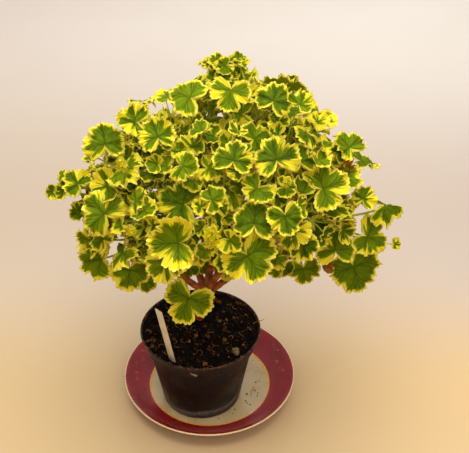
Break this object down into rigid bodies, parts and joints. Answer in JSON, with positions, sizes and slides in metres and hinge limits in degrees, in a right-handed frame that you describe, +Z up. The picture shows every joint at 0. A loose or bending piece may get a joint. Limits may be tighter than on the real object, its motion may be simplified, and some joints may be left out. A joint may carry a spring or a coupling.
{
  "type": "potted scented geranium",
  "caption": "Bushy scented geranium with crisp-edged, yellow-margined lobed leaves on woody stems, in a black nursery pot with a plain plant label, on a maroon-banded china saucer.",
  "frame": {"origin": "middle of the bounding box, at its foot, on the tabletop that the saucer stands on", "axes": "+Z up, -Y towards the viewer in the picture, +X to the picture's right"},
  "size_m": [0.2764, 0.2038, 0.3341],
  "materials": {
    "china": "glossy glaze",
    "black_plastic": "satin, dusty near the foot",
    "compost": "rough, loose",
    "white_plastic": "smooth",
    "bark": "rough",
    "foliage": "soft, finely hairy"
  },
  "bodies": {
    "root": {"saucer": "china", "pot": "black_plastic", "compost": "compost", "label": "white_plastic", "wood": "bark", "shoot_01": "foliage", "shoot_02": "foliage", "shoot_03": "foliage", "shoot_04": "foliage", "shoot_05": "foliage", "shoot_06": "foliage", "shoot_07": "foliage", "shoot_08": "foliage", "shoot_09": "foliage", "shoot_10": "foliage", "shoot_11": "foliage", "shoot_12": "foliage", "shoot_13": "foliage", "shoot_14": "foliage", "shoot_15": "foliage", "shoot_16": "foliage", "shoot_17": "foliage", "shoot_18": "foliage", "shoot_19": "foliage", "shoot_20": "foliage", "shoot_21": "foliage", "shoot_22": "foliage", "shoot_23": "foliage", "shoot_24": "foliage", "shoot_25": "foliage", "shoot_26": "foliage", "shoot_27": "foliage", "shoot_28": "foliage", "shoot_29": "foliage", "shoot_30": "foliage", "shoot_31": "foliage", "shoot_32": "foliage", "shoot_33": "foliage", "shoot_34": "foliage", "shoot_35": "foliage", "shoot_36": "foliage"}
  },
  "joints": []
}
